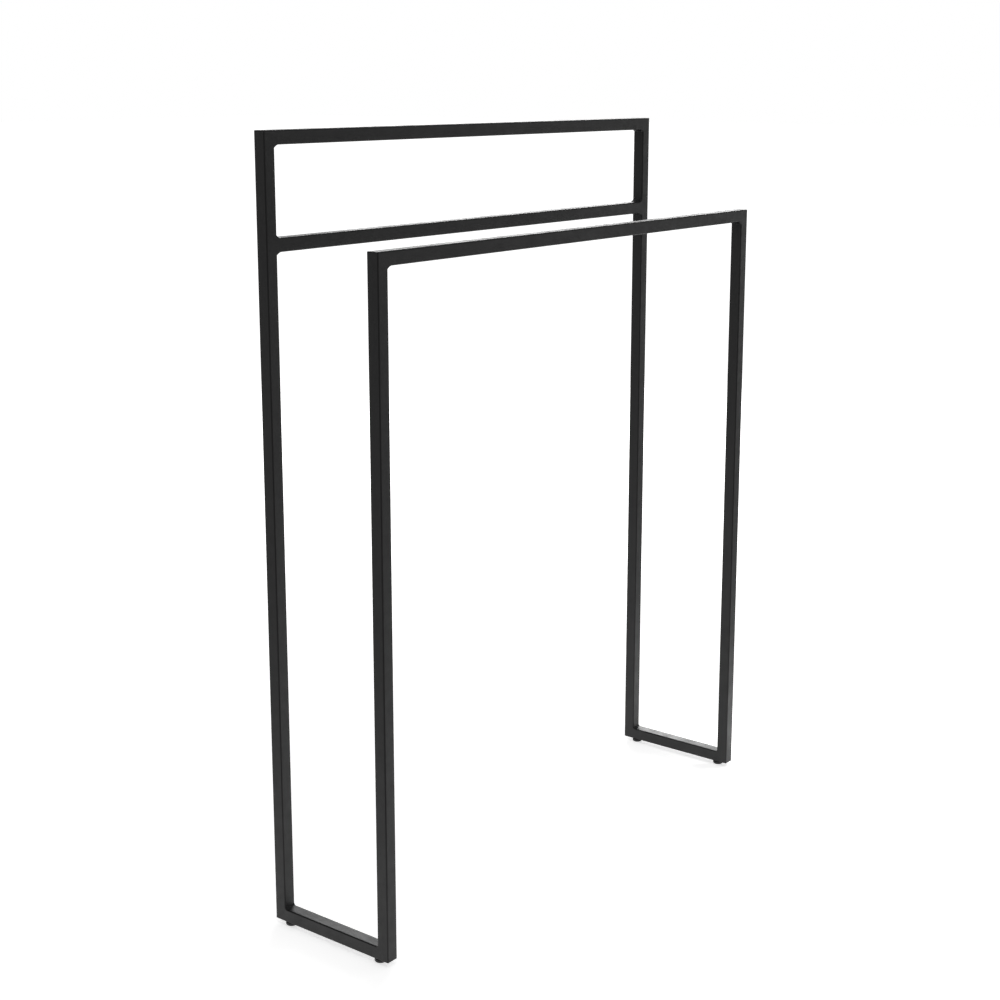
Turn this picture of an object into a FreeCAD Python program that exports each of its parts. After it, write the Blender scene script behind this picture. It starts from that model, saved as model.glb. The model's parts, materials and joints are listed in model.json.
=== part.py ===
"""Free-standing towel stand of welded square steel tube, in millimetres.

The origin is on the floor, under the middle of the stand. +Z is up, +X is to the right seen from the
front, and +Y goes from the low front frame to the tall rear frame.
"""
import FreeCAD, Part
import os

Vector = FreeCAD.Vector

# Overall sizes of the stand, with its feet screwed right in
stand_width = 710.0
stand_depth = 168.0
stand_height = 875.0

# How much lower the front frame is, and the clear height between the two rails of the rear frame
front_drop = 114.0
upper_window_height = 95.0

# Square steel tube
tube_side = 15.0
tube_wall = 1.2
tube_corner_radius = 1.5
tube_bore_radius = 0.5

# Welds: a leg lies along each tube, the hollow is the sag of the weld's face between its two toes.
# The welds on the posts at the bottom rails are smaller, with legs of one length.
weld_leg_on_rail = 6.0
weld_leg_on_post = 3.2
bottom_weld_leg = 2.4
weld_hollow = 0.5

# Feet: the height is the gap between the floor and the underside of the bottom rails
foot_height = 5.0
foot_setback = 2.3
pad_diameter = 13.0
pad_rim_radius = 1.8
pad_shoulder = 0.7
pad_sole_thickness = 1.2

# Threaded stud, with the collar that the pad is pressed over
thread_diameter = 5.0
thread_pitch = 0.8
thread_depth = 0.45
collar_diameter = 7.0
collar_thickness = 1.0
stud_headroom = 1.3

# Threaded insert set in the lower wall of a bottom rail
insert_flange_diameter = 8.6
insert_flange_thickness = 0.8
insert_barrel_diameter = 6.9
insert_bulge_diameter = 8.8
insert_bulge_height = 1.8
insert_length = 9.0

# Clearances
running_clearance = 0.06
setting_clearance = 0.05

# Sides of a cutting block, in tube sides
cutter_shares = 3.0

# An edge runs along a direction if the cosine of the angle between them is over this
cosine_share = 0.99

AXIS_X = Vector(1, 0, 0)
AXIS_Y = Vector(0, 1, 0)
AXIS_Z = Vector(0, 0, 1)

# Centrelines of the tubes
post_x = (stand_width - tube_side) / 2
frame_y = (stand_depth - tube_side) / 2
bottom_z = foot_height + tube_side / 2
rear_top_z = stand_height - tube_side / 2
front_top_z = rear_top_z - front_drop
middle_z = rear_top_z - tube_side - upper_window_height

# How far a weld's block goes into the tubes, so that their rounded edges cut it to shape
weld_bite = 2 * tube_corner_radius

# What repeats on the left and on the right, and at the rear and at the front
SIDES = {"left": -1, "right": 1}
FRAMES = {"rear": 1, "front": -1}
TOP_Z = {"rear": rear_top_z, "front": front_top_z}


def square_block(length, side):
    """Square block that stands on the origin."""
    return Part.makeBox(side, side, length, Vector(-side / 2, -side / 2, 0))


def rounded(block, along, radius, corners=()):
    """Rounds a block's edges along a direction, and the edges with their middles at the corners."""
    edges = [
        edge
        for edge in block.Edges
        if abs(edge.tangentAt(edge.FirstParameter).dot(along)) > cosine_share
        or any(edge.CenterOfMass.distanceToPoint(corner) < radius for corner in corners)
    ]
    return block.makeFillet(radius, edges)


def placed_along(shape, start, direction):
    """Turns a shape's +Z to the given direction and puts its origin at the start."""
    shape.Placement = FreeCAD.Placement(start, FreeCAD.Rotation(AXIS_Z, direction))
    return shape


def mitre_block(corner, along, partner):
    """Block that takes away what lies past the mitre of two tubes that leave a corner."""
    size = cutter_shares * tube_side
    block = Part.makeBox(size, size, size, Vector(-size / 2, -size / 2, 0))
    return placed_along(block, corner, partner - along)


def tube(start, end, start_partner=None, end_partner=None):
    """The solid envelope and the hollow tube between two centreline points.

    A partner is the direction in which the tube that is mitred on at that end leaves the corner. The
    outer edge of such a corner is ground round after welding. An end with no partner is cut square.
    """
    along = (end - start).normalize()
    overrun = tube_side / 2
    first, last, cutters, corners = start, end, [], []
    if start_partner:
        first = start - along * overrun
        corners.append(first - start_partner * overrun)
        cutters.append(mitre_block(start, along, start_partner))
    if end_partner:
        last = end + along * overrun
        corners.append(last - end_partner * overrun)
        cutters.append(mitre_block(end, -along, end_partner))
    length = (last - first).Length
    block = placed_along(square_block(length, tube_side), first, along)
    envelope = rounded(block, along, tube_corner_radius, corners)
    if cutters:
        envelope = envelope.cut(cutters)
    bore_block = placed_along(square_block(length, tube_side - 2 * tube_wall), first, along)
    return envelope, envelope.cut(rounded(bore_block, along, tube_bore_radius))


def frame_tubes():
    """Envelopes and hollow tubes of the posts and rails, by name."""
    made = {}
    for side, x_sign in SIDES.items():
        x = x_sign * post_x
        for frame, y_sign in FRAMES.items():
            foot = Vector(x, y_sign * frame_y, bottom_z)
            head = Vector(x, y_sign * frame_y, TOP_Z[frame])
            made[f"{frame}_{side}_post"] = tube(foot, head, AXIS_Y * -y_sign, AXIS_X * -x_sign)
        front_end = Vector(x, -frame_y, bottom_z)
        rear_end = Vector(x, frame_y, bottom_z)
        made[f"{side}_bottom_rail"] = tube(front_end, rear_end, AXIS_Z, AXIS_Z)
    for frame, y_sign in FRAMES.items():
        left_end = Vector(-post_x, y_sign * frame_y, TOP_Z[frame])
        right_end = Vector(post_x, y_sign * frame_y, TOP_Z[frame])
        made[f"{frame}_top_rail"] = tube(left_end, right_end, -AXIS_Z, -AXIS_Z)
    middle_reach = post_x - tube_side / 2
    made["middle_rail"] = tube(
        Vector(-middle_reach, frame_y, middle_z), Vector(middle_reach, frame_y, middle_z)
    )
    return made


def corner_metal(rail_leg, post_leg):
    """Weld metal of one inside corner before the tubes are cut out of it.

    The rail leaves the corner along +X and the post along +Z. The block bites into both, so that the cut
    leaves metal on their rounded edges too. Its curved face is rounded off at the edges as the tubes are.
    """
    rail_toe = Vector(rail_leg, 0, 0)
    post_toe = Vector(0, 0, post_leg)
    outward = Vector(post_leg, 0, rail_leg).normalize()
    throat = (rail_toe + post_toe) / 2 - outward * weld_hollow
    face_arc = Part.Arc(rail_toe, throat, post_toe).toShape()
    back = Part.makePolygon(
        [
            post_toe,
            Vector(-weld_bite, 0, post_leg),
            Vector(-weld_bite, 0, -weld_bite),
            Vector(rail_leg, 0, -weld_bite),
            rail_toe,
        ]
    )
    outline = Part.Face(Part.Wire([face_arc] + back.Edges))
    block = outline.extrude(AXIS_Y * tube_side)
    block.translate(AXIS_Y * (-tube_side / 2))
    curved = [edge for edge in block.Edges if isinstance(edge.Curve, Part.Circle)]
    return block.makeFillet(tube_corner_radius, curved)


def placed_in_corner(shape, corner, along_x, along_z):
    """Turns a shape's +X and +Z to the two directions and puts its origin in the corner."""
    turn = FreeCAD.Rotation(along_x, along_z.cross(along_x), along_z, "XYZ")
    shape.Placement = FreeCAD.Placement(corner, turn)
    return shape


def corner_weld(metal, corner, rail_direction, post_direction, neighbours):
    """Weld of a mitred corner. The corner is where the two centrelines meet."""
    inside = corner + (rail_direction + post_direction) * (tube_side / 2)
    return placed_in_corner(metal, inside, rail_direction, post_direction).cut(neighbours)


def butt_weld(x_sign, neighbours):
    """Weld round one end of the middle rail, with a fillet above and below it."""
    inward = AXIS_X * -x_sign
    post_face = x_sign * (post_x - tube_side / 2)
    fillets = []
    for up in (AXIS_Z, -AXIS_Z):
        corner = Vector(post_face, frame_y, middle_z) + up * (tube_side / 2)
        metal = corner_metal(weld_leg_on_rail, weld_leg_on_post)
        fillets.append(placed_in_corner(metal, corner, inward, up))
    seam = Part.makeBox(weld_bite, tube_side, tube_side)
    seam_x = min(post_face, post_face + x_sign * weld_bite)
    seam.translate(Vector(seam_x, frame_y - tube_side / 2, middle_z - tube_side / 2))
    return seam.fuse(fillets).cut(neighbours)


def frame_welds(envelopes):
    """Welds of the eight mitred corners and of the middle rail's two ends, by name."""
    made = {}
    for side, x_sign in SIDES.items():
        x = x_sign * post_x
        for frame, y_sign in FRAMES.items():
            post = envelopes[f"{frame}_{side}_post"]
            head = Vector(x, y_sign * frame_y, TOP_Z[frame])
            foot = Vector(x, y_sign * frame_y, bottom_z)
            top_metal = corner_metal(weld_leg_on_rail, weld_leg_on_post)
            made[f"{frame}_{side}_top_weld"] = corner_weld(
                top_metal, head, AXIS_X * -x_sign, -AXIS_Z, [post, envelopes[f"{frame}_top_rail"]]
            )
            bottom_metal = corner_metal(bottom_weld_leg, bottom_weld_leg)
            made[f"{frame}_{side}_bottom_weld"] = corner_weld(
                bottom_metal, foot, AXIS_Y * -y_sign, AXIS_Z, [post, envelopes[f"{side}_bottom_rail"]]
            )
        made[f"middle_{side}_weld"] = butt_weld(
            x_sign, [envelopes[f"rear_{side}_post"], envelopes["middle_rail"]]
        )
    return made


def turned(profile):
    """Turned part from the corner points of its half section, as (radius, height) pairs."""
    points = [Vector(radius, 0, height) for radius, height in profile]
    outline = Part.Face(Part.makePolygon(points + points[:1]))
    return outline.revolve(Vector(0, 0, 0), AXIS_Z)


def foot_pad():
    """Moulded pad: flat sole, rounded rim, upright side and a pocket for the stud's collar."""
    radius = pad_diameter / 2
    top = foot_height - insert_flange_thickness
    sole = radius - pad_rim_radius
    throat = thread_diameter / 2 + running_clearance
    pocket = collar_diameter / 2 + running_clearance
    pocket_top = pad_sole_thickness + collar_thickness + running_clearance
    half_way = Vector(sole, 0, pad_rim_radius) + Vector(1, 0, -1).normalize() * pad_rim_radius
    rim = Part.Arc(Vector(sole, 0, 0), half_way, Vector(radius, 0, pad_rim_radius)).toShape()
    rest = Part.makePolygon(
        [
            Vector(radius, 0, pad_rim_radius),
            Vector(radius, 0, top - pad_shoulder),
            Vector(radius - pad_shoulder, 0, top),
            Vector(throat, 0, top),
            Vector(throat, 0, pocket_top),
            Vector(pocket, 0, pocket_top),
            Vector(pocket, 0, pad_sole_thickness),
            Vector(0, 0, pad_sole_thickness),
            Vector(0, 0, 0),
            Vector(sole, 0, 0),
        ]
    )
    section = Part.Face(Part.Wire([rim] + rest.Edges))
    return section.revolve(Vector(0, 0, 0), AXIS_Z)


def foot_stud():
    """Stud with a collar at its foot and a thread, drawn as closed rings, up to its tip."""
    crest = thread_diameter / 2
    root = crest - thread_depth
    collar_top = pad_sole_thickness + collar_thickness
    tip = foot_height + tube_side - tube_wall - stud_headroom
    pad_top = foot_height - insert_flange_thickness
    turns = int((tip - pad_top) / thread_pitch)
    profile = [(0, pad_sole_thickness), (collar_diameter / 2, pad_sole_thickness)]
    profile += [(collar_diameter / 2, collar_top), (crest, collar_top)]
    for turn in range(turns, 0, -1):
        ring = tip - turn * thread_pitch
        profile += [(crest, ring), (root, ring + thread_pitch / 2)]
    profile += [(root, tip), (0, tip)]
    return turned(profile)


def foot_insert():
    """Rivet nut: flange under the rail, barrel in the wall's hole, and the bulge that grips the wall."""
    bore = thread_diameter / 2 + running_clearance
    flange = insert_flange_diameter / 2
    barrel = insert_barrel_diameter / 2
    bulge = insert_bulge_diameter / 2
    underside = foot_height
    wall_top = foot_height + tube_wall
    profile = [
        (bore, underside - insert_flange_thickness),
        (flange, underside - insert_flange_thickness),
        (flange, underside),
        (barrel, underside),
        (barrel, wall_top),
        (bulge, wall_top),
        (barrel, wall_top + insert_bulge_height),
        (barrel, underside + insert_length),
        (bore, underside + insert_length),
    ]
    return turned(profile)


def feet(made_tubes):
    """Pads, studs and inserts by name, and the holes for them in the bottom rails."""
    made = {}
    hole_radius = insert_barrel_diameter / 2 + setting_clearance
    foot_y = stand_depth / 2 - tube_side - foot_setback
    for side, x_sign in SIDES.items():
        for frame, y_sign in FRAMES.items():
            place = Vector(x_sign * post_x, y_sign * foot_y, 0)
            made[f"{frame}_{side}_foot_pad"] = foot_pad().translated(place)
            made[f"{frame}_{side}_foot_stud"] = foot_stud().translated(place)
            made[f"{frame}_{side}_foot_insert"] = foot_insert().translated(place)
            hole = Part.makeCylinder(hole_radius, tube_side / 2, place + AXIS_Z * (foot_height - tube_wall))
            rail = f"{side}_bottom_rail"
            made_tubes[rail] = made_tubes[rail].cut(hole)
    return made


def main():
    both = frame_tubes()
    envelopes = {name: pair[0] for name, pair in both.items()}
    parts = {name: pair[1] for name, pair in both.items()}
    parts.update(frame_welds(envelopes))
    parts.update(feet(parts))
    os.makedirs("parts", exist_ok=True)
    for name, shape in parts.items():
        shape.exportStep(f"parts/{name}.step")
        box = shape.BoundBox
        print(
            f"{name}: {len(shape.Solids)} solid, valid {shape.isValid()}, {shape.Volume:.1f} mm3,"
            f" x {box.XMin:.2f} to {box.XMax:.2f}, y {box.YMin:.2f} to {box.YMax:.2f},"
            f" z {box.ZMin:.2f} to {box.ZMax:.2f}"
        )
    print(len(parts), "nodes")


main()
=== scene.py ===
# %% [markdown]
# # A free-standing towel stand in matt black
# The real stand is a weldment. Nine lengths of square steel tube are mitred and welded into two
# frames that share their bottom rails, ground flush on the outside and powder coated as one piece.
# Four small levelling feet are screwed into the bottom rails afterwards. The solids already have
# every length, radius and weld, so this lesson is about finish and light: how a black, almost
# colourless object gets its shape from what it reflects.

# %% Load the solids
import json
import math

import bpy
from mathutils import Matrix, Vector

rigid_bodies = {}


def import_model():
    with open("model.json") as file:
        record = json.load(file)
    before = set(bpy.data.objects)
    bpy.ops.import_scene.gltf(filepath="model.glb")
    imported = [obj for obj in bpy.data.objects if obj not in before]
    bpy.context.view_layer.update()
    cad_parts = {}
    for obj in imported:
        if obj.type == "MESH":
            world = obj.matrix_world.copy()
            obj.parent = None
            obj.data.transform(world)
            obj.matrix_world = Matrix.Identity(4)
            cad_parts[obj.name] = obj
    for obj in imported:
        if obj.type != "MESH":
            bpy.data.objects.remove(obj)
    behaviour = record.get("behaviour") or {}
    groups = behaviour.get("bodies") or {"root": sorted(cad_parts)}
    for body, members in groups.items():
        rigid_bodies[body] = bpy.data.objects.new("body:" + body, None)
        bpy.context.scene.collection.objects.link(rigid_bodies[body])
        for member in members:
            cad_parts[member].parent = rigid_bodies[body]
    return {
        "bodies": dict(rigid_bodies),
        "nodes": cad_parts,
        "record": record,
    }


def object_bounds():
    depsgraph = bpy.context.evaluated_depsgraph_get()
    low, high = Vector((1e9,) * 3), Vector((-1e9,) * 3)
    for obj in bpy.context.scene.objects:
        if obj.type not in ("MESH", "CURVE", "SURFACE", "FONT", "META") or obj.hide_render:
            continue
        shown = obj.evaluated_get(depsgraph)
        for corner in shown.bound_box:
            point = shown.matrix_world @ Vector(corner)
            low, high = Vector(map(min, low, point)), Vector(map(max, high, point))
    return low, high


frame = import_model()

cad_low, cad_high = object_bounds()
MM = 0.001
stand_size = (cad_high - cad_low) / MM
print("nodes:", len(frame["nodes"]), "size in mm:", [round(side) for side in stand_size])

# %% [markdown]
# ## The camera
# A camera can be moved by eye until the picture looks right, but a stand made of straight tubes
# shows every error. So each tube edge was measured in the photograph, and one pinhole camera was
# fitted to all of them. It looks from the front left, from a little above the stand's top, so that
# the thin top faces show as bright lines. The fit puts the optical axis above the middle of the
# picture, as a view camera with its front lowered does. `shift_y` says that in Blender. It is kept
# smaller than the fit's, because every other view keeps it too and has to show the whole stand.

# %% Camera at the photograph's viewpoint
CAMERA_PLACE = Vector((-1.6030, -1.2149, 0.9268))
CAMERA_HEADING = 51.87
CAMERA_DIP = 11.85
CAMERA_LENS = 62.1
CAMERA_SHIFT = -0.06

camera = bpy.data.objects.new("camera", bpy.data.cameras.new("camera"))
camera.location = CAMERA_PLACE
camera.rotation_euler = (math.radians(90 - CAMERA_DIP), 0, math.radians(-CAMERA_HEADING))
camera.data.lens = CAMERA_LENS
camera.data.shift_y = CAMERA_SHIFT
bpy.context.scene.collection.objects.link(camera)
bpy.context.scene.camera = camera
stand_middle = (cad_low + cad_high) / 2
print("camera is", round((CAMERA_PLACE - stand_middle).length, 2), "m from the stand's middle")

# %% [markdown]
# ## Colours and nodes
# Paint makers and web pages give colours as sRGB hex values, and shaders add up light in linear
# values, so one function turns the first into the second. A second small function adds a node, sets
# it and links it, which keeps each material short enough to read from top to bottom. Patterns are
# sized in millimetres of the real surface: a texture that repeats once per unit repeats once per
# metre here.

# %% Helpers for colours, nodes and pattern sizes
def linear(hex_colour):
    """Linear RGBA of an sRGB colour such as '#1c1c1d'."""
    channels = [int(hex_colour[i:i + 2], 16) / 255 for i in (1, 3, 5)]
    bent = [c / 12.92 if c <= 0.04045 else ((c + 0.055) / 1.055) ** 2.4 for c in channels]
    return (*bent, 1.0)


def per_metre(size_mm):
    """Scale of a noise or cell texture whose features are this many millimetres across."""
    return 1 / (size_mm * MM)


def add(tree, kind, inputs=None, **properties):
    """Adds a node. Its inputs are given by name or number, as values or other nodes' outputs."""
    made = tree.nodes.new(kind)
    for name, value in properties.items():
        setattr(made, name, value)
    for name, value in (inputs or {}).items():
        if isinstance(value, bpy.types.NodeSocket):
            tree.links.new(value, made.inputs[name])
        else:
            made.inputs[name].default_value = value
    return made


def new_material(name):
    """An empty node material and its tree."""
    material = bpy.data.materials.new(name)
    material.use_nodes = True
    material.node_tree.nodes.clear()
    return material, material.node_tree


print("a coat of #262626 reflects", round(100 * linear("#262626")[0], 1), "percent of the light")

# %% [markdown]
# ## Fine-texture polyester powder coat
# Dry powder is sprayed on charged steel and baked. A fine-texture powder doesn't flow out flat: it
# stays in rounded grains about half a millimetre across and a few hundredths high, which is what
# makes the coat matt. Grains could be modelled, at the cost of millions of faces. A bump made of
# noise less rounded cells bends the light in the same way and leaves the tubes as they are.
#
# Half a millimetre is under one pixel here, so the grains are drawn a little over a millimetre
# across. Where the coat lies on a weld, the bead's ripples show through as a coarser wave.

# %% Relief of the coat
GRAIN_MM = 1.2
PEBBLE_MM = 1.4 * GRAIN_MM
GRAIN_HEIGHT_MM = 0.07
BEAD_PITCH_MM = 1.6
BEAD_HEIGHT_MM = 0.10
WAVE_RADIANS = 20


def bands_per_metre(pitch_mm):
    """Scale of a wave texture whose bands are this far apart. It turns 20 radians per unit."""
    return math.tau / (WAVE_RADIANS * pitch_mm * MM)


def coat_relief(tree, place, bead_axis):
    """Bumped normal of the grained coat, rippled along an axis where it lies on a weld bead."""
    grains = add(tree, "ShaderNodeTexNoise", {
        "Vector": place.outputs["Object"], "Scale": per_metre(GRAIN_MM),
        "Detail": 3.0, "Roughness": 0.6,
    })
    pebbles = add(tree, "ShaderNodeTexVoronoi", {
        "Vector": place.outputs["Object"], "Scale": per_metre(PEBBLE_MM), "Smoothness": 0.6,
    }, feature="SMOOTH_F1")
    height = add(tree, "ShaderNodeMath", {
        0: grains.outputs["Fac"], 1: pebbles.outputs["Distance"],
    }, operation="SUBTRACT")
    normal = add(tree, "ShaderNodeBump", {
        "Height": height.outputs[0], "Distance": GRAIN_HEIGHT_MM * MM, "Strength": 1.0,
    })
    if bead_axis:
        ripples = add(tree, "ShaderNodeTexWave", {
            "Vector": place.outputs["Object"], "Scale": bands_per_metre(BEAD_PITCH_MM),
            "Distortion": 1.2, "Detail": 1.0,
        }, bands_direction=bead_axis)
        normal = add(tree, "ShaderNodeBump", {
            "Height": ripples.outputs["Fac"], "Distance": BEAD_HEIGHT_MM * MM,
            "Normal": normal.outputs[0],
        })
    return normal.outputs[0]


print("a grain is", GRAIN_MM, "mm wide and", GRAIN_HEIGHT_MM, "mm high")

# %% [markdown]
# ## Rounded edges of the coat
# On a rounded edge the melting powder pulls back, and the film there is thinner and smoother. The
# thin dark line along every edge, which parts two faces of nearly the same grey, is painted shade:
# the colour is darkened and the reflection weakened along the rounded edges.
#
# Edges could be painted by hand or found from the mesh's curvature. Every face of this stand lies
# square to an axis, so the normal alone is enough: on a flat face its largest part is 1, and on a
# rounding it falls to 0.7.

# %% Where the edges are
FLAT_ABOVE = 0.99
ROUND_BELOW = 0.90


def rounded_edge(tree, place):
    """0 on a flat face and 1 on a rounded edge."""
    facing = add(tree, "ShaderNodeVectorMath", {0: place.outputs["Normal"]}, operation="ABSOLUTE")
    parts = add(tree, "ShaderNodeSeparateXYZ", {0: facing.outputs[0]})
    sideways = add(tree, "ShaderNodeMath", {
        0: parts.outputs[0], 1: parts.outputs[1],
    }, operation="MAXIMUM")
    largest = add(tree, "ShaderNodeMath", {
        0: sideways.outputs[0], 1: parts.outputs[2],
    }, operation="MAXIMUM")
    return add(tree, "ShaderNodeMapRange", {
        "Value": largest.outputs[0], "From Min": FLAT_ABOVE, "From Max": ROUND_BELOW,
        "To Min": 0.0, "To Max": 1.0,
    }).outputs[0]


first_turn = math.degrees(math.acos(FLAT_ABOVE))
print("an edge starts where the normal has turned by", round(first_turn), "degrees")

# %% [markdown]
# ## The coat itself
# The film is a plastic with an IOR of about 1.5, so it mirrors a white room at a glancing angle,
# and that is why a black tube's top face looks almost white. Its roughness is matched to the
# photograph and drifts with the film's thickness over a finger's width. Its colour changes even
# less, over a hand's width. One flat black would be simpler, and looks like a drawing.

# %% The powder coat
COAT_DARK = "#1d1d1e"
COAT_PALE = "#232323"
# painted shade: the darker colour mixed in along every rounded edge
COAT_PAINTED_EDGE_SHADE = "#0e0e0f"
COAT_IOR = 1.5
CLOUD_MM = 14.0
DRIFT_MM = 120.0
LEAST_ROUGH = 0.44
MOST_ROUGH = 0.56
SMOOTHER_ON_EDGES = -0.16
GLOSS_ON_FACES = 0.5
# weaker reflection on the edges, part of the painted dark edge line
GLOSS_ON_EDGES = 0.34


def powder_coat(name, bead_axis=None):
    """Matt black textured coat. On a weld, its bead's ripples run along the axis."""
    material, tree = new_material(name)
    place = add(tree, "ShaderNodeTexCoord")
    edge = rounded_edge(tree, place)
    clouds = add(tree, "ShaderNodeTexNoise", {
        "Vector": place.outputs["Object"], "Scale": per_metre(CLOUD_MM),
        "Detail": 4.0, "Roughness": 0.6,
    })
    roughness = add(tree, "ShaderNodeMapRange", {
        "Value": clouds.outputs["Fac"], "From Min": 0.3, "From Max": 0.7,
        "To Min": LEAST_ROUGH, "To Max": MOST_ROUGH,
    })
    smoother = add(tree, "ShaderNodeMath", {
        0: edge, 1: SMOOTHER_ON_EDGES, 2: roughness.outputs[0],
    }, operation="MULTIPLY_ADD")
    drift = add(tree, "ShaderNodeTexNoise", {
        "Vector": place.outputs["Object"], "Scale": per_metre(DRIFT_MM), "Detail": 2.0,
    })
    tone = add(tree, "ShaderNodeMix", {
        "Factor": drift.outputs["Fac"], "A": linear(COAT_DARK), "B": linear(COAT_PALE),
    }, data_type="RGBA")
    # painted shade: darkens the coat's colour along every rounded edge
    edge_shaded_tone = add(tree, "ShaderNodeMix", {
        "Factor": edge, "A": tone.outputs["Result"], "B": linear(COAT_PAINTED_EDGE_SHADE),
    }, data_type="RGBA")
    gloss = add(tree, "ShaderNodeMapRange", {
        "Value": edge, "To Min": GLOSS_ON_FACES, "To Max": GLOSS_ON_EDGES,
    })
    film = add(tree, "ShaderNodeBsdfPrincipled", {
        "Base Color": edge_shaded_tone.outputs["Result"], "Roughness": smoother.outputs[0], "IOR": COAT_IOR,
        "Specular IOR Level": gloss.outputs[0], "Normal": coat_relief(tree, place, bead_axis),
    })
    add(tree, "ShaderNodeOutputMaterial", {"Surface": film.outputs[0]})
    return material


coat = powder_coat("fine_texture_polyester_powder_coat")
coat_on_beads_along_x = powder_coat("powder_coat_over_weld_along_x", "X")
coat_on_beads_along_y = powder_coat("powder_coat_over_weld_along_y", "Y")
print("coat nodes:", len(coat.node_tree.nodes))

# %% [markdown]
# ## Moulded nylon pads
# The pads are injection moulded in black nylon. The mould is spark eroded, which leaves an even,
# very fine sand on the plastic, and the sole is scuffed paler where it has been slid over a floor.
# The scuffs could be a second material on the sole's faces, but real ones fade up the rim, so they
# are mixed in by height, in patches. The real sand is a tenth of a millimetre wide and is drawn
# three times as coarse, so that a close view shows it.

# %% The nylon
NYLON = "#1e1e1f"
NYLON_SCUFFED = "#4a4a48"
NYLON_IOR = 1.53
NYLON_ROUGH = 0.5
SAND_MM = 0.35
SAND_HEIGHT_MM = 0.02
SCUFF_ENDS_MM = 1.6
SCUFF_FULL_MM = 0.1
SCUFF_PATCH_MM = 2.0


def moulded_nylon(name):
    """Black nylon with a spark-eroded surface and a scuffed sole."""
    material, tree = new_material(name)
    place = add(tree, "ShaderNodeTexCoord")
    sand = add(tree, "ShaderNodeTexNoise", {
        "Vector": place.outputs["Object"], "Scale": per_metre(SAND_MM), "Detail": 2.0,
    })
    above_floor = add(tree, "ShaderNodeSeparateXYZ", {0: place.outputs["Object"]})
    low = add(tree, "ShaderNodeMapRange", {
        "Value": above_floor.outputs[2],
        "From Min": SCUFF_ENDS_MM * MM, "From Max": SCUFF_FULL_MM * MM,
    })
    patches = add(tree, "ShaderNodeTexNoise", {
        "Vector": place.outputs["Object"], "Scale": per_metre(SCUFF_PATCH_MM), "Detail": 4.0,
    })
    scuff = add(tree, "ShaderNodeMath", {
        0: low.outputs[0], 1: patches.outputs["Fac"],
    }, operation="MULTIPLY")
    tone = add(tree, "ShaderNodeMix", {
        "Factor": scuff.outputs[0], "A": linear(NYLON), "B": linear(NYLON_SCUFFED),
    }, data_type="RGBA")
    bump = add(tree, "ShaderNodeBump", {
        "Height": sand.outputs["Fac"], "Distance": SAND_HEIGHT_MM * MM,
    })
    plastic = add(tree, "ShaderNodeBsdfPrincipled", {
        "Base Color": tone.outputs["Result"], "Roughness": NYLON_ROUGH, "IOR": NYLON_IOR,
        "Normal": bump.outputs[0],
    })
    add(tree, "ShaderNodeOutputMaterial", {"Surface": plastic.outputs[0]})
    return material


nylon = moulded_nylon("spark_eroded_black_nylon")
print("nylon nodes:", len(nylon.node_tree.nodes))

# %% [markdown]
# ## Zinc-plated studs
# The studs are turned from steel and plated with bright zinc. They show only when a foot is screwed
# out. Zinc is a metal, so the colour sits in its reflection, and the plating breaks it up into pale
# patches. A mirror-bright metal would be enough at this size, but the patches and the turning marks
# stop the stud from looking like glass in a close view.

# %% The zinc
ZINC_DULL = "#aeb2b8"
ZINC_PALE = "#c9ccd0"
BLOOM_MM = 1.5
TURNING_PITCH_MM = 0.2
TURNING_HEIGHT_MM = 0.004
ZINC_LEAST_ROUGH = 0.22
ZINC_MOST_ROUGH = 0.42


def zinc_plate(name):
    """Bright zinc plating on turned steel, with fine turning marks round the stud."""
    material, tree = new_material(name)
    place = add(tree, "ShaderNodeTexCoord")
    bloom = add(tree, "ShaderNodeTexNoise", {
        "Vector": place.outputs["Object"], "Scale": per_metre(BLOOM_MM), "Detail": 3.0,
    })
    marks = add(tree, "ShaderNodeTexWave", {
        "Vector": place.outputs["Object"], "Scale": bands_per_metre(TURNING_PITCH_MM),
        "Distortion": 0.6,
    }, bands_direction="Z")
    tone = add(tree, "ShaderNodeMix", {
        "Factor": bloom.outputs["Fac"], "A": linear(ZINC_DULL), "B": linear(ZINC_PALE),
    }, data_type="RGBA")
    roughness = add(tree, "ShaderNodeMapRange", {
        "Value": bloom.outputs["Fac"], "To Min": ZINC_LEAST_ROUGH, "To Max": ZINC_MOST_ROUGH,
    })
    bump = add(tree, "ShaderNodeBump", {
        "Height": marks.outputs["Fac"], "Distance": TURNING_HEIGHT_MM * MM,
    })
    plating = add(tree, "ShaderNodeBsdfPrincipled", {
        "Base Color": tone.outputs["Result"], "Metallic": 1.0, "Roughness": roughness.outputs[0],
        "Normal": bump.outputs[0],
    })
    add(tree, "ShaderNodeOutputMaterial", {"Surface": plating.outputs[0]})
    return material


zinc = zinc_plate("bright_zinc_on_turned_steel")
print("zinc nodes:", len(zinc.node_tree.nodes))

# %% [markdown]
# ## Finish on each piece
# The finishes could be set by a list of names, which goes out of date when a piece is renamed. The
# record gives every node a material slot, so the finishes follow that and no piece is missed.
# Welds get the same coat with their bead showing through. A bead runs across the tube, which is
# along X at the bottom corners, where post and bottom rail meet, and along Y at every other joint.

# %% Assign the finishes
SLOT_MATERIALS = {"black_powder_coat": coat, "black_nylon": nylon, "zinc_plated_steel": zinc}

for row in frame["record"]["subparts"]:
    name = row["node"]
    material = SLOT_MATERIALS[row["material_slot"]]
    if name.endswith("weld"):
        material = coat_on_beads_along_x if "bottom" in name else coat_on_beads_along_y
    piece = frame["nodes"][name]
    piece.data.materials.clear()
    piece.data.materials.append(material)

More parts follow.
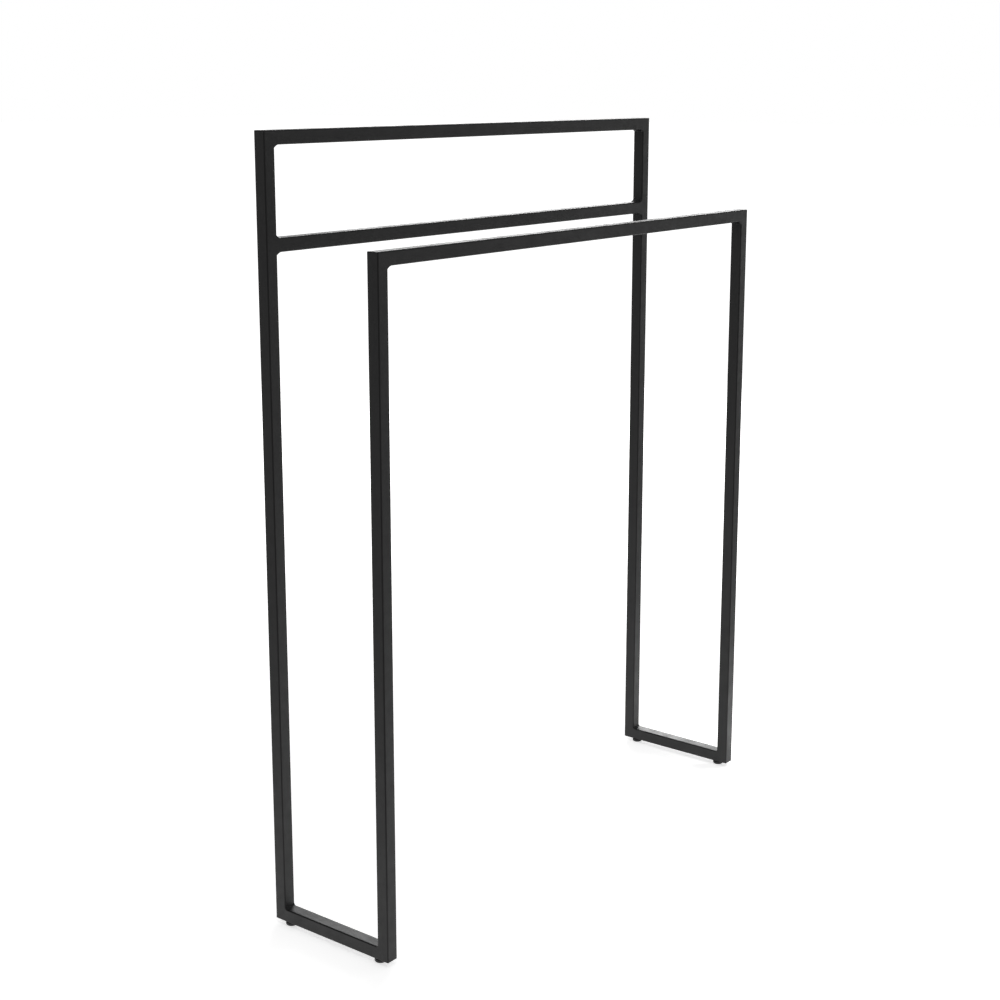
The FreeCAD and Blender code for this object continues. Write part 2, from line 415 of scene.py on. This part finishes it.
# %% [markdown]
# ## Floor
# The stand rests on its pads, so the floor lies at the lowest point of the solids. A pad that is
# screwed out reaches lower than the others. The floor could be laid that deep from the start, but
# then the stand would hover at rest. Instead four constraints hold the floor below the lowest pad.

# %% Lay the floor
FLOOR_REACH = 30.0

bpy.ops.mesh.primitive_plane_add(size=2 * FLOOR_REACH, location=(0, 0, cad_low.z))
floor = bpy.context.object
floor.name = "floor"
for body, empty in frame["bodies"].items():
    if body.endswith("_pad"):
        below_pad = floor.constraints.new("FLOOR")
        below_pad.target = empty
        below_pad.floor_location = "FLOOR_NEGATIVE_Z"
print("the floor stays below", len(floor.constraints), "pads")

# %% [markdown]
# ## What each ray finds
# The photograph shows plain white all round, with no edge. More light on a white floor would do
# that, but it would wash out the stand. So the floor and the world get a glow, and one function
# gives each kind of ray its own strength. For the camera the glow lifts the lit floor to full
# white, and is weaker near the stand, so that the feet and bottom rails keep their soft shadow.
#
# A black coat shows its surroundings, so what it mirrors matters even more. Mirrored rays find a
# bright patch of floor round the stand, a dim floor further out and on the camera's side, and white
# paper again behind the stand on the right. The posts mirror the patch at their feet, so they get
# darker towards the top, and their edges mirror the dim side. None of this glow lights the scene.

# %% The floor's paper
NEAR_STAND = 0.5
FAR_FROM_STAND = 2.5
GLOW_NEAR = 0.64
PATCH_EDGE = 0.3
PATCH_END = 1.3
PATCH_MIRRORED = 0.55
FAR_MIRRORED = 0.08
FRONT_STARTS = -0.42
FRONT_FULL = -0.62
FRONT_MIRRORED = 0.12
PAPER_STARTS = 1.0
TOWARDS_PAPER = Vector((0.79, 0.61, 0.0))
FLOOR_WHITE = "#f2f2f2"


def by_ray(tree, to_camera, to_mirrors, to_rest):
    """Picks one of three strengths: for camera rays, for glossy or transmitted rays, for others."""
    path = add(tree, "ShaderNodeLightPath")
    mirrored = add(tree, "ShaderNodeMath", {
        0: path.outputs["Is Glossy Ray"], 1: path.outputs["Is Transmission Ray"],
    }, operation="MAXIMUM")
    unseen = add(tree, "ShaderNodeMix", {
        "Factor": mirrored.outputs[0], "A": to_rest, "B": to_mirrors,
    }, data_type="FLOAT")
    return add(tree, "ShaderNodeMix", {
        "Factor": path.outputs["Is Camera Ray"], "A": unseen.outputs["Result"], "B": to_camera,
    }, data_type="FLOAT").outputs["Result"]


floor_paper, tree = new_material("matt_white_studio_paper")
spot = add(tree, "ShaderNodeTexCoord")
away = add(tree, "ShaderNodeVectorMath", {0: spot.outputs["Object"]}, operation="LENGTH")
towards_paper = add(tree, "ShaderNodeVectorMath", {
    0: spot.outputs["Object"], 1: TOWARDS_PAPER,
}, operation="DOT_PRODUCT")
camera_glow = add(tree, "ShaderNodeMapRange", {
    "Value": away.outputs["Value"], "From Min": NEAR_STAND, "From Max": FAR_FROM_STAND,
    "To Min": GLOW_NEAR, "To Max": 1.0,
}, interpolation_type="SMOOTHSTEP")
patch_glow = add(tree, "ShaderNodeMapRange", {
    "Value": away.outputs["Value"], "From Min": PATCH_EDGE, "From Max": PATCH_END,
    "To Min": PATCH_MIRRORED, "To Max": FAR_MIRRORED,
}, interpolation_type="SMOOTHSTEP")
behind_front = add(tree, "ShaderNodeMapRange", {
    "Value": towards_paper.outputs["Value"], "From Min": FRONT_FULL, "From Max": FRONT_STARTS,
}, interpolation_type="SMOOTHSTEP")
paper_glow = add(tree, "ShaderNodeMapRange", {
    "Value": towards_paper.outputs["Value"], "From Min": PAPER_STARTS, "From Max": FAR_FROM_STAND,
}, interpolation_type="SMOOTHSTEP")
floor_glow = add(tree, "ShaderNodeMix", {
    "Factor": behind_front.outputs[0], "A": FRONT_MIRRORED, "B": patch_glow.outputs[0],
}, data_type="FLOAT")
mirror_glow = add(tree, "ShaderNodeMath", {
    0: floor_glow.outputs["Result"], 1: paper_glow.outputs[0],
}, operation="MAXIMUM")
matt = add(tree, "ShaderNodeBsdfDiffuse", {"Color": linear(FLOOR_WHITE)})
glow = add(tree, "ShaderNodeEmission", {
    "Strength": by_ray(tree, camera_glow.outputs[0], mirror_glow.outputs[0], 0.0),
})
both = add(tree, "ShaderNodeAddShader", {0: matt.outputs[0], 1: glow.outputs[0]})
add(tree, "ShaderNodeOutputMaterial", {"Surface": both.outputs[0]})
floor.data.materials.append(floor_paper)
print("glow turns from", GLOW_NEAR, "to 1 between", NEAR_STAND, "and", FAR_FROM_STAND, "m")

# %% [markdown]
# ## The room
# The white paper stands behind the stand and to its right, and the rest is a dim room with a
# slightly lighter wall behind the camera. That is what gives a black tube its darker and lighter
# faces, and the rounded edges mirror the wall. Real walls could be built round the stand. A world
# that changes with direction does the same and never gets in the way of a camera.

# %% World
ROOM_LEVEL = 0.23
WALL_LEVEL = 0.42
WALL_FULL = -0.90
WALL_EDGE = -0.40
PAPER_DIRECTION = Vector((0.80, 0.58, 0.12)).normalized()
PAPER_EDGE = 0.64
PAPER_FULL = 0.95

world = bpy.data.worlds.new("white_paper_and_dim_room")
bpy.context.scene.world = world
world.use_nodes = True
sky = world.node_tree
sky.nodes.clear()
direction = add(sky, "ShaderNodeTexCoord")
towards = add(sky, "ShaderNodeVectorMath", {
    0: direction.outputs["Generated"], 1: PAPER_DIRECTION,
}, operation="DOT_PRODUCT")
paper = add(sky, "ShaderNodeMapRange", {
    "Value": towards.outputs["Value"], "From Min": PAPER_EDGE, "From Max": PAPER_FULL,
    "To Min": ROOM_LEVEL, "To Max": 1.0,
}, interpolation_type="SMOOTHSTEP")
wall = add(sky, "ShaderNodeMapRange", {
    "Value": towards.outputs["Value"], "From Min": WALL_FULL, "From Max": WALL_EDGE,
    "To Min": WALL_LEVEL, "To Max": ROOM_LEVEL,
}, interpolation_type="SMOOTHSTEP")
mirrored_room = add(sky, "ShaderNodeMath", {
    0: paper.outputs[0], 1: wall.outputs[0],
}, operation="MAXIMUM")
room_light = add(sky, "ShaderNodeBackground", {
    "Color": linear("#ffffff"),
    "Strength": by_ray(sky, 1.0, mirrored_room.outputs[0], ROOM_LEVEL),
})
add(sky, "ShaderNodeOutputWorld", {"Surface": room_light.outputs[0]})
print("the room lights the stand at a level of", ROOM_LEVEL)

# %% [markdown]
# ## Lamps
# One sun would give hard shadows and black faces, so the light comes from large soft boxes, as in a
# product studio. A softbox behind on the right draws the bright lines on the top faces, and a
# smaller card near the right side makes that bottom rail brighter than the left one. A weak box
# overhead lights the floor. A narrow spot puts a pool of light on it beside the right front foot,
# and the lowest part of the right posts mirrors the pool.

# %% Place the lamps
def place_lamp(name, lamp, place, aim):
    """Puts a lamp at its place, turned to its aim, where the camera doesn't see it."""
    holder = bpy.data.objects.new(name, lamp)
    holder.location = place
    holder.rotation_euler = (Vector(aim) - Vector(place)).to_track_quat("-Z", "Y").to_euler()
    holder.visible_camera = False
    bpy.context.scene.collection.objects.link(holder)


def softbox(name, place, aim, width, height, watts):
    """Rectangular lamp with an even face."""
    lamp = bpy.data.lights.new(name, "AREA")
    lamp.shape = "RECTANGLE"
    lamp.size, lamp.size_y, lamp.energy = width, height, watts
    place_lamp(name, lamp, place, aim)


softbox("softbox_behind_right", place=(2.60, 1.65, 1.20), aim=(0.0, 0.0, 0.3),
        width=1.7, height=1.3, watts=36)
softbox("card_beside_right_rail", place=(1.30, 0.80, 0.60), aim=(0.3, 0.0, 0.0),
        width=0.6, height=0.5, watts=3.0)
softbox("softbox_overhead", place=(-0.3, -0.2, 2.8), aim=(0.0, 0.0, 0.0),
        width=2.2, height=2.2, watts=18)

POOL_WATTS = 420
POOL_CONE = 10
POOL_LAMP_RADIUS = 0.1
pool_lamp = bpy.data.lights.new("spot_on_floor", "SPOT")
pool_lamp.energy = POOL_WATTS
pool_lamp.spot_size = math.radians(POOL_CONE)
pool_lamp.spot_blend = 1.0
pool_lamp.shadow_soft_size = POOL_LAMP_RADIUS
place_lamp("spot_on_floor", pool_lamp, place=(0.70, -0.36, 2.5), aim=(0.51, -0.185, 0.0))

# %% [markdown]
# ## View transform
# The picture uses Blender's Standard view transform.

# %% View transform
view_settings = bpy.context.scene.view_settings
view_settings.view_transform = "Standard"
